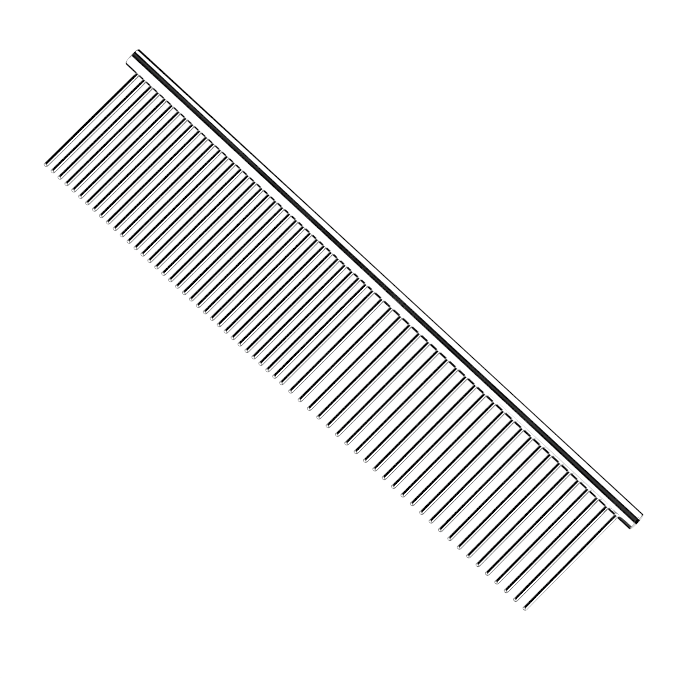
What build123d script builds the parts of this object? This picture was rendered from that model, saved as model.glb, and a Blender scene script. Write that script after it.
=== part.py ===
"""Steel grooming comb: a round spine with 35 fine and 26 coarse round teeth pressed into it.

The comb lies on a flat surface, resting on its spine and on the tips of its teeth.
+X runs along the spine from the fine end to the coarse end, the teeth point towards -Y,
and +Z is up. The origin is under the middle of the comb's box, on the surface it lies on.
"""

from build123d import *
import math
import os

# Driving dimensions, in millimetres.
overall_length = 190.0
spine_diameter = 5.6
spine_end_round = 0.4

tooth_diameter = 1.35
tooth_length_outside = 36.8
tooth_tip_round = 0.6
tooth_root_chamfer = 0.15
tooth_seat_depth = 4.2
drill_point_angle = 118.0

fine_tooth_count = 35
coarse_tooth_count = 26
fine_pitch = 2.615
coarse_pitch = 3.505
gap_between_groups = 3.4
bare_end_at_fine_teeth = 4.7

# The last two teeth of each group share one file, as two separate solids.
fine_teeth_in_last_file = 2
coarse_teeth_in_last_file = 2

# Worked out from the dimensions above.
spine_radius = spine_diameter / 2
tooth_radius = tooth_diameter / 2
tooth_reach = spine_radius + tooth_length_outside
root_reach = spine_radius - tooth_seat_depth
first_fine_x = bare_end_at_fine_teeth - overall_length / 2
last_fine_x = first_fine_x + (fine_tooth_count - 1) * fine_pitch
first_coarse_x = last_fine_x + gap_between_groups


def resting_tilt():
    """How far the teeth slope down, in radians, when the spine and the tips touch the surface."""
    tip_round_reach = tooth_reach - tooth_tip_round
    tip_flat_radius = tooth_radius - tooth_tip_round
    drop = spine_radius - tooth_tip_round
    slope = math.asin(drop / math.hypot(tip_round_reach, tip_flat_radius))
    return slope - math.atan2(tip_flat_radius, tip_round_reach)


def spine_axis_y():
    """Where the spine's axis lies, so that the comb's box is centred on the origin."""
    tilt = resting_tilt()
    tip_round_reach = tooth_reach - tooth_tip_round
    tip_flat_radius = tooth_radius - tooth_tip_round
    across = tip_round_reach * math.cos(tilt) + tip_flat_radius * math.sin(tilt) + tooth_tip_round
    return (across - spine_radius) / 2


def at_tooth(x):
    """The frame of the tooth at x: its origin is on the spine's axis and its Z runs to the tip."""
    tilt = resting_tilt()
    origin = Vector(x, spine_axis_y(), spine_radius)
    return Plane(origin=origin, x_dir=(1, 0, 0), z_dir=(0, -math.cos(tilt), -math.sin(tilt)))


def rod(radius, start, end):
    """A round bar about Z between two heights."""
    bar = Cylinder(radius, end - start, align=(Align.CENTER, Align.CENTER, Align.MIN))
    return Pos(0, 0, start) * bar


def tooth(x):
    """A round steel tooth with a rounded tip and a chamfered root, so that it starts in its hole."""
    bar = rod(tooth_radius, root_reach, tooth_reach)
    ends = bar.edges().filter_by(GeomType.CIRCLE).sort_by(Axis.Z)
    bar = chamfer(ends[0], tooth_root_chamfer)
    tip = bar.edges().filter_by(GeomType.CIRCLE).sort_by(Axis.Z)[-1]
    return at_tooth(x) * fillet(tip, tooth_tip_round)


def tooth_hole(x):
    """The blind hole that a tooth is pressed into, with the point that the drill leaves."""
    point_depth = tooth_radius / math.tan(math.radians(drill_point_angle / 2))
    bore = rod(tooth_radius, root_reach, tooth_reach)
    point = Pos(0, 0, root_reach - point_depth / 2) * Cone(0, tooth_radius, point_depth)
    return at_tooth(x) * (bore + point)


def spine(tooth_positions):
    """The solid round bar that is the comb's back, drilled for every tooth."""
    bar = Cylinder(spine_radius, overall_length)
    ends = bar.edges().filter_by(GeomType.CIRCLE)
    bar = fillet(ends, spine_end_round)
    bar = Pos(0, spine_axis_y(), spine_radius) * Rot(0, 90, 0) * bar
    return bar - [tooth_hole(x) for x in tooth_positions]


def write(name, shape):
    """Write one sub-part's STEP file."""
    shape.label = name
    export_step(shape, f"parts/{name}.step")


def write_teeth(group, positions, in_last_file):
    """Write a group of teeth, one file each, apart from the last few, which share a file."""
    alone = len(positions) - in_last_file
    for number, x in enumerate(positions[:alone], start=1):
        write(f"{group}_tooth_{number:02d}", tooth(x))
    shared = Compound(children=[tooth(x) for x in positions[alone:]])
    write(f"{group}_teeth_{alone + 1:02d}_to_{len(positions):02d}", shared)


fine_positions = [first_fine_x + i * fine_pitch for i in range(fine_tooth_count)]
coarse_positions = [first_coarse_x + i * coarse_pitch for i in range(coarse_tooth_count)]

os.makedirs("parts", exist_ok=True)
write("spine", spine(fine_positions + coarse_positions))
write_teeth("fine", fine_positions, fine_teeth_in_last_file)
write_teeth("coarse", coarse_positions, coarse_teeth_in_last_file)
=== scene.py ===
"""Steel grooming comb on a white light table: its chrome, what the chrome mirrors, and the camera."""

import bpy
import math
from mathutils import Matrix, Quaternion, Vector


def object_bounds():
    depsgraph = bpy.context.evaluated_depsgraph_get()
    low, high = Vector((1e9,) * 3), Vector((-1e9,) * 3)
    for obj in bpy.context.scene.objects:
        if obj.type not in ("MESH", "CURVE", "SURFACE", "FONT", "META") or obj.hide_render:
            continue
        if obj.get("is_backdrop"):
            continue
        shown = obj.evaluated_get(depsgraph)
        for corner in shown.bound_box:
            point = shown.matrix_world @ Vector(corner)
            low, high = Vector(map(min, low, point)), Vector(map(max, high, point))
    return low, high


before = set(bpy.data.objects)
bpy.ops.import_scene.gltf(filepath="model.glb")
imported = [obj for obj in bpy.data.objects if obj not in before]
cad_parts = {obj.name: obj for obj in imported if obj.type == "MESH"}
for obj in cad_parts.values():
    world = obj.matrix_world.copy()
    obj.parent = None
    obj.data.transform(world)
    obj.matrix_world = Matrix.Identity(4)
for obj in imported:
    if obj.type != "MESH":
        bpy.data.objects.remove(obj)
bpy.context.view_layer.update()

MM = 0.001
WHITE = (1.0, 1.0, 1.0, 1.0)

# Camera: a long lens, looking down at the comb from its coarse end and the tips of its teeth.
CAMERA_AZIMUTH = 26.646
CAMERA_ELEVATION = 70.46
CAMERA_ROLL = 17.454
CAMERA_DISTANCE = 3.0
CAMERA_LENS = 582.49
CAMERA_CLIP_END = 100.0
CAMERA_TARGET = Vector((1.175, -0.067, 0.0)) * MM

# What the spine's coarse end face shows the camera: the direction it looks in, mirrored in that face.
END_FACE_MIRROR = (0.15, 0.299, -0.942)

# The renderer's pixel filter, in pixels: narrower than its usual 1.5, to keep the thin lines crisp.
PIXEL_FILTER = 1.0

# The light table. Its white is mostly its own glow, so the teeth cast next to no shadow on it.
FLOOR_SIZE = 6.0
FLOOR_GAP = 0.02 * MM
FLOOR_ALBEDO = 0.12
FLOOR_GLOW = 0.93

# Brightness of the world, and of what the chrome mirrors.
DAYLIGHT = 1.0
SOFTBOX = 1.2
CEILING = 0.036
SIDE_FILL = 0.4
CORE = 0.045
HORIZON = 0.65
WEDGE = 0.05
DASHES = 0.01
BLACK = 0.0

# Brightness of two of the boxes, as a multiple of SOFTBOX.
COARSE_BOX = 1.5
UNDER_FACE = 0.6

# Steel: the noise that is stretched into polishing lines, the smudges, and the noise's working range.
LINE_DETAIL = 3.0
LINE_DEPTH = 0.01 * MM
LINE_RELIEF = 0.05
SMUDGE_SCALE = 60.0
SMUDGE_DETAIL = 4.0
NOISE_LOW = 0.15
NOISE_HIGH = 0.45


def new_material(name):
    """A material with nodes and nothing but a Principled shader."""
    material = bpy.data.materials.new(name)
    material.use_nodes = True
    return material, material.node_tree.nodes["Principled BSDF"]


def node(tree, kind, inputs=None, **settings):
    """Add a node; inputs maps a socket to a value or to the socket that feeds it."""
    made = tree.nodes.new(kind)
    for key, value in settings.items():
        setattr(made, key, value)
    for key, value in (inputs or {}).items():
        if isinstance(value, bpy.types.NodeSocket):
            tree.links.new(value, made.inputs[key])
        else:
            made.inputs[key].default_value = value
    return made


def noise(tree, place, scale, detail):
    """Noise between 0 and 1."""
    inputs = {"Vector": place, "Scale": scale, "Detail": detail}
    return node(tree, "ShaderNodeTexNoise", inputs).outputs[0]


def chrome(name, colour, roughness_low, roughness_high, line_stretch):
    """Polished steel: lines and smudges change its roughness, and the lines are also a slight relief."""
    material, shader = new_material(name)
    tree = material.node_tree
    place = node(tree, "ShaderNodeTexCoord").outputs["Object"]
    stretched = node(tree, "ShaderNodeMapping", {"Vector": place, "Scale": line_stretch}).outputs[0]
    lines = noise(tree, stretched, 1.0, LINE_DETAIL)
    smudges = noise(tree, place, SMUDGE_SCALE, SMUDGE_DETAIL)
    both = combine(tree, "MULTIPLY", lines, smudges)
    roughness = node(
        tree, "ShaderNodeMapRange",
        {
            "Value": both, "From Min": NOISE_LOW, "From Max": NOISE_HIGH,
            "To Min": roughness_low, "To Max": roughness_high,
        },
    ).outputs[0]
    bump = node(
        tree, "ShaderNodeBump",
        {"Height": lines, "Strength": LINE_RELIEF, "Distance": LINE_DEPTH},
    ).outputs[0]
    tree.links.new(roughness, shader.inputs["Roughness"])
    tree.links.new(bump, shader.inputs["Normal"])
    shader.inputs["Base Color"].default_value = (*colour, 1.0)
    shader.inputs["Metallic"].default_value = 1.0
    return material


def matt_glow(name, albedo, glow):
    """A matt grey that glows white and mirrors nothing."""
    material, shader = new_material(name)
    shader.inputs["Base Color"].default_value = (albedo, albedo, albedo, 1.0)
    shader.inputs["Roughness"].default_value = 1.0
    shader.inputs["Specular IOR Level"].default_value = 0.0
    shader.inputs["Emission Color"].default_value = WHITE
    shader.inputs["Emission Strength"].default_value = glow
    return material


def flat_object(name, corners, material):
    """A flat sheet with these corners, in metres."""
    mesh = bpy.data.meshes.new(name)
    mesh.from_pydata(corners, [], [tuple(range(len(corners)))])
    mesh.materials.append(material)
    made = bpy.data.objects.new(name, mesh)
    bpy.context.scene.collection.objects.link(made)
    return made


def edge(tree, value, start, end):
    """0 at start, 1 at end, smooth between them; start may be above end."""
    low, high, at_low, at_high = (start, end, 0.0, 1.0) if start < end else (end, start, 1.0, 0.0)
    made = node(
        tree, "ShaderNodeMapRange",
        {"Value": value, "From Min": low, "From Max": high, "To Min": at_low, "To Max": at_high},
        interpolation_type="SMOOTHSTEP",
    )
    return made.outputs[0]


def combine(tree, operation, first, *others):
    """Fold several sockets together with one maths operation."""
    result = first
    for other in others:
        result = node(tree, "ShaderNodeMath", {0: result, 1: other}, operation=operation).outputs[0]
    return result


def studio():
    """The world: plain daylight for the table and the backdrop, and white boxes in the dark for the chrome.

    Each box ends at soft edges, given by the x, y or z of the direction in which the chrome looks.
    """
    world = bpy.data.worlds.new("studio")
    bpy.context.scene.world = world
    world.use_nodes = True
    tree = world.node_tree
    tree.nodes.clear()
    direction = node(tree, "ShaderNodeTexCoord").outputs["Generated"]
    x, y, z = node(tree, "ShaderNodeSeparateXYZ", {"Vector": direction}).outputs

    # White: behind the spine, in front of the teeth, and at the coarse end, which is brighter.
    behind = combine(tree, "MULTIPLY", edge(tree, y, 0.74, 0.78), edge(tree, z, 0.10, 0.14))
    in_front = combine(tree, "MULTIPLY", edge(tree, y, -0.70, -0.74), edge(tree, z, -0.66, -0.62))
    coarse_end = combine(
        tree, "MULTIPLY", edge(tree, x, 0.57, 0.61), edge(tree, z, 0.00, 0.03), edge(tree, y, 0.13, 0.16),
        COARSE_BOX,
    )
    # White, low at the fine end: the light strip left of the teeth's black band.
    fine_end = combine(
        tree, "MULTIPLY", edge(tree, x, -0.20, -0.28), edge(tree, z, -0.45, -0.49),
        edge(tree, y, 0.12, 0.15), edge(tree, y, 0.40, 0.36),
    )
    # Light grey, round the one direction that the coarse end face mirrors to the camera.
    to_face = node(
        tree, "ShaderNodeVectorMath", {0: direction, 1: END_FACE_MIRROR}, operation="DOT_PRODUCT",
    ).outputs["Value"]
    under_face = combine(tree, "MULTIPLY", edge(tree, to_face, 0.982, 0.988), UNDER_FACE)
    white = combine(tree, "MAXIMUM", behind, in_front, coarse_end, fine_end, under_face)

    # Dark grey, overhead: the core of the spine's dark band.
    ceiling = combine(tree, "MULTIPLY", edge(tree, z, 0.86, 0.88), edge(tree, y, 0.14, 0.06), CEILING)
    # Grey at both sides, for other views: the photo's view sees next to nothing of it.
    beside = combine(tree, "MAXIMUM", edge(tree, x, 0.15, 0.70), edge(tree, x, -0.45, -0.90))
    side_fill = combine(tree, "MULTIPLY", beside, edge(tree, y, 0.14, 0.02), SIDE_FILL)

    strength = combine(tree, "MAXIMUM", combine(tree, "MULTIPLY", white, SOFTBOX), ceiling, side_fill)
    boxes = node(tree, "ShaderNodeBackground", {"Color": WHITE, "Strength": strength})
    plain = node(tree, "ShaderNodeBackground", {"Color": WHITE, "Strength": DAYLIGHT})
    glossy = node(tree, "ShaderNodeLightPath").outputs["Is Glossy Ray"]
    mixed = node(tree, "ShaderNodeMixShader", {0: glossy, 1: plain.outputs[0], 2: boxes.outputs[0]})
    node(tree, "ShaderNodeOutputWorld", {"Surface": mixed.outputs[0]})


def card(name, axis, level, outline, brightness):
    """A flat studio card that only the chrome sees, in millimetres.

    It stands square to an axis, at a level on it, and its outline gives the other two coordinates.
    """
    corners = []
    for point in outline:
        corner = list(point)
        corner.insert("xyz".index(axis), level)
        corners.append(Vector(corner) * MM)
    made = flat_object(name, corners, matt_glow(name, 0.0, brightness))
    made.visible_camera = False
    made.visible_diffuse = False
    made.visible_shadow = False
    made.visible_transmission = False
    made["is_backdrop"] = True


def cards():
    """Near cards, whose edges run askew to the spine, so that its bands drift along it as in the photo."""
    # The white above the spine's dark band, up to the dark rim line at its back.
    card(
        "back_card", "y", 250,
        [
            (-170, 140), (-170, 60), (-119, 5), (-62, -35), (12, -44), (130, -30),
            (130, 500), (5, 494), (-78, 390), (-147, 209),
        ],
        SOFTBOX,
    )
    # The white below the dark band.
    card(
        "front_card", "z", 300,
        [
            (-200, -74), (-122, -96), (-77, -116), (5, -205),
            (41, -279), (120, -430), (120, -900), (-200, -900),
        ],
        SOFTBOX,
    )
    # The black edge between the band's grey core and the white below it.
    card(
        "black_card", "z", 301,
        [(-200, 45), (-118, 21), (-57, 5), (31, -80), (100, -172), (100, -700), (-200, -700)],
        BLACK,
    )
    # The band's grey core towards the fine end.
    card("core_card", "z", 15, [(-110, 23.2), (-68, 23.0), (-40, 21.0), (-12, 19.9), (-110, 19.9)], CORE)
    # The light strip right of the teeth's black band, down to the thin line at their right.
    card("coarse_card", "x", 189, [(-80, -30), (700, -30), (700, 15), (-80, 15)], SOFTBOX * COARSE_BOX)
    # The dark wedge past the last tooth.
    card("dark_card", "z", -30, [(84, -18), (160, -18), (160, -230), (57, -230), (81, -40)], WEDGE)
    # The faint grey streak above the coarse teeth.
    card("horizon_card", "y", -400, [(-25, -6), (15, 45), (34, 45), (34, -65), (15, -65)], HORIZON)
    # The dark dashes between the teeth.
    card(
        "dash_card", "z", -30,
        [(-105, -18), (-105, -22), (-87, -29), (-7, -44), (62, -44), (74, -35), (84, -35), (84, -18)],
        DASHES,
    )
    # The dark band where it turns over the coarse end's face and rounding.
    card("end_card", "z", -3, [(94, 19.6), (98, 19.6), (98, 21.3), (94, 21.3)], BLACK)
    card(
        "end_flag", "x", 96.2,
        [
            (17.7, 2.9), (19.2, 2.9), (19.0, 5.0), (19.4, 7.2),
            (20.3, 9.4), (14.4, 8.1), (15.9, 6.3), (16.9, 4.8),
        ],
        BLACK,
    )


def floor():
    """A plain white light table, which the chrome doesn't mirror."""
    half = FLOOR_SIZE / 2
    corners = [(-half, -half, 0), (half, -half, 0), (half, half, 0), (-half, half, 0)]
    table = flat_object("floor", corners, matt_glow("white_table", FLOOR_ALBEDO, FLOOR_GLOW))
    table.location.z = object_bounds()[0][2] - FLOOR_GAP
    table.visible_glossy = False
    table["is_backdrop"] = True


def camera():
    """The camera, aimed at the comb's middle and turned about its own axis."""
    azimuth, elevation = math.radians(CAMERA_AZIMUTH), math.radians(CAMERA_ELEVATION)
    towards = Vector((
        math.cos(elevation) * math.sin(azimuth),
        -math.cos(elevation) * math.cos(azimuth),
        math.sin(elevation),
    ))
    data = bpy.data.cameras.new("camera")
    data.lens = CAMERA_LENS
    data.clip_end = CAMERA_CLIP_END
    eye = bpy.data.objects.new("camera", data)
    eye.location = CAMERA_TARGET + towards * CAMERA_DISTANCE
    roll = Quaternion((0, 0, 1), math.radians(CAMERA_ROLL))
    eye.rotation_euler = ((-towards).to_track_quat("-Z", "Y") @ roll).to_euler()
    bpy.context.scene.collection.objects.link(eye)
    bpy.context.scene.camera = eye


def polish():
    """Give every CAD node its chrome: lines round the spine, and lines along the teeth."""
    spine = chrome(
        "spine_chrome", colour=(0.93, 0.935, 0.94), roughness_low=0.03, roughness_high=0.16,
        line_stretch=(2500.0, 60.0, 60.0),
    )
    teeth = chrome(
        "teeth_chrome", colour=(0.92, 0.925, 0.93), roughness_low=0.02, roughness_high=0.07,
        line_stretch=(3000.0, 60.0, 3000.0),
    )
    for name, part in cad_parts.items():
        part.data.materials.clear()
        part.data.materials.append(spine if name == "spine" else teeth)


studio()
cards()
floor()
polish()
camera()
bpy.context.scene.view_settings.view_transform = "Standard"
bpy.context.scene.cycles.filter_width = PIXEL_FILTER
